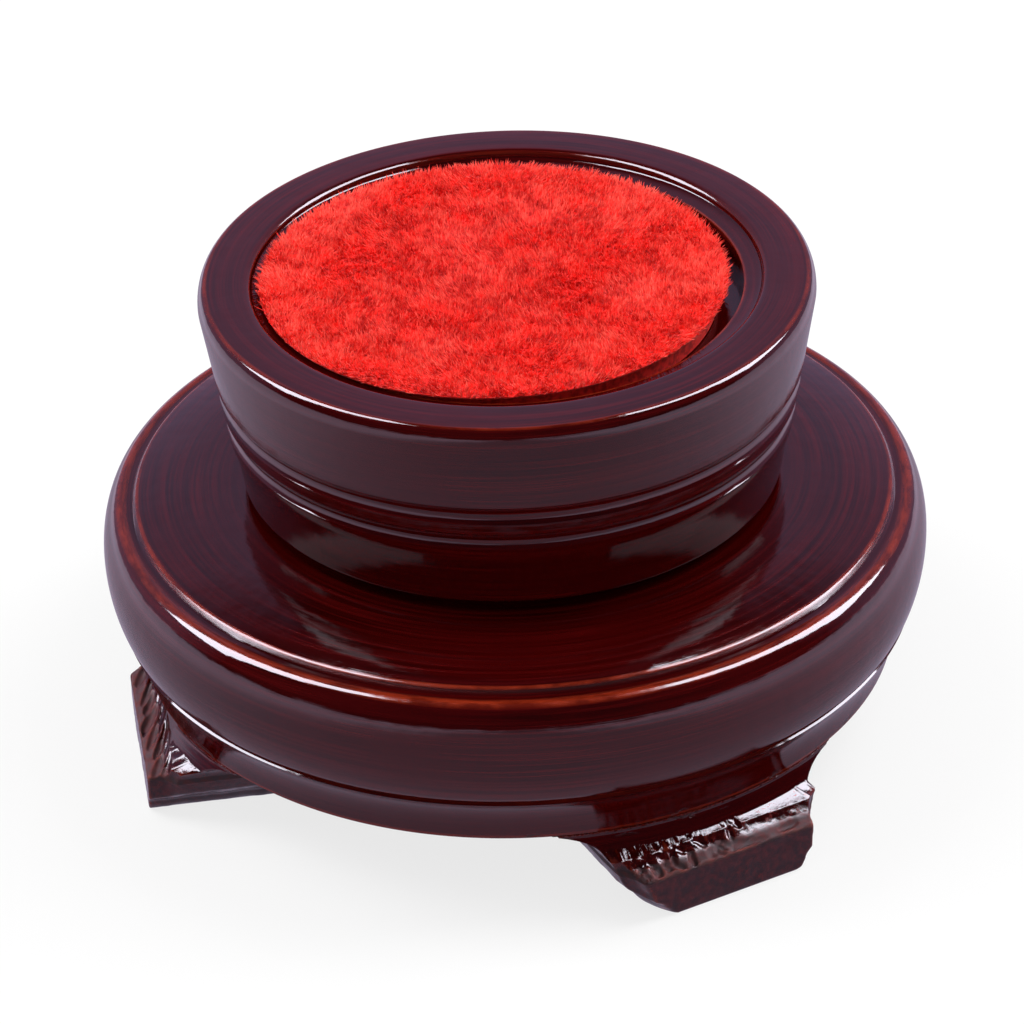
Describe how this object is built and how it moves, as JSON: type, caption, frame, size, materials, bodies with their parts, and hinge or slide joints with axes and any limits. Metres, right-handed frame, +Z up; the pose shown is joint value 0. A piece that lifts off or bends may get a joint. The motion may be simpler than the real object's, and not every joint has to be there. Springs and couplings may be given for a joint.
{
  "type": "revolving display stand",
  "caption": "Round lacquered wooden display stand: a tapered drum with a plush-lined recess turns on a bearing over a wide base with a rounded rim and carved block feet.",
  "frame": {"origin": "on the ground below the turning axis, at the centre of the base's outline", "axes": "+Z up along the turning axis; -Y is the front, midway between the two front feet; +X to the right seen from the front"},
  "size_m": [0.13, 0.13, 0.0766],
  "materials": {
    "lacquered_wood": "dark mahogany-red gloss lacquer over turned hardwood",
    "carved_wood": "the same lacquer over rough gouge-cut wood",
    "red_plush": "bright red short-pile plush",
    "foam": "pale closed-cell foam",
    "fibreboard": "raw hard fibreboard",
    "brass": "turned brass",
    "bearing_steel": "ground bearing steel",
    "zinc_steel": "zinc-plated steel",
    "beech": "raw beech dowel"
  },
  "bodies": {
    "base": {"base_board": "lacquered_wood", "skirt_ring": "lacquered_wood", "skirt_screws": "zinc_steel", "foot_dowels": "beech", "foot_front_right": "carved_wood", "foot_front_left": "carved_wood", "foot_rear_right": "carved_wood", "foot_rear_left": "carved_wood", "pivot_bolt": "zinc_steel", "head_washer": "zinc_steel", "clamp_nut": "zinc_steel", "lower_race": "bearing_steel", "top_washer": "zinc_steel", "lock_nut": "zinc_steel"},
    "turntable": {"drum": "lacquered_wood", "pivot_bush": "brass", "upper_race": "bearing_steel", "pad_backing": "fibreboard", "pad_foam": "foam", "plush_cover": "red_plush"},
    "ball_ring": {"ball_cage": "brass", "bearing_balls": "bearing_steel"}
  },
  "joints": [
    {"name": "turntable_spin", "type": "hinge", "parent": "base", "child": "turntable", "pos_m": [0, 0, 0.0429], "axis": [0, 0, 1], "continuous": true},
    {"name": "ball_ring_spin", "type": "hinge", "parent": "base", "child": "ball_ring", "pos_m": [0, 0, 0.0429], "axis": [0, 0, 1], "continuous": true}
  ],
  "couplings": [
    {"joint": "ball_ring_spin", "follows": "turntable_spin", "ratio": 0.5}
  ]
}
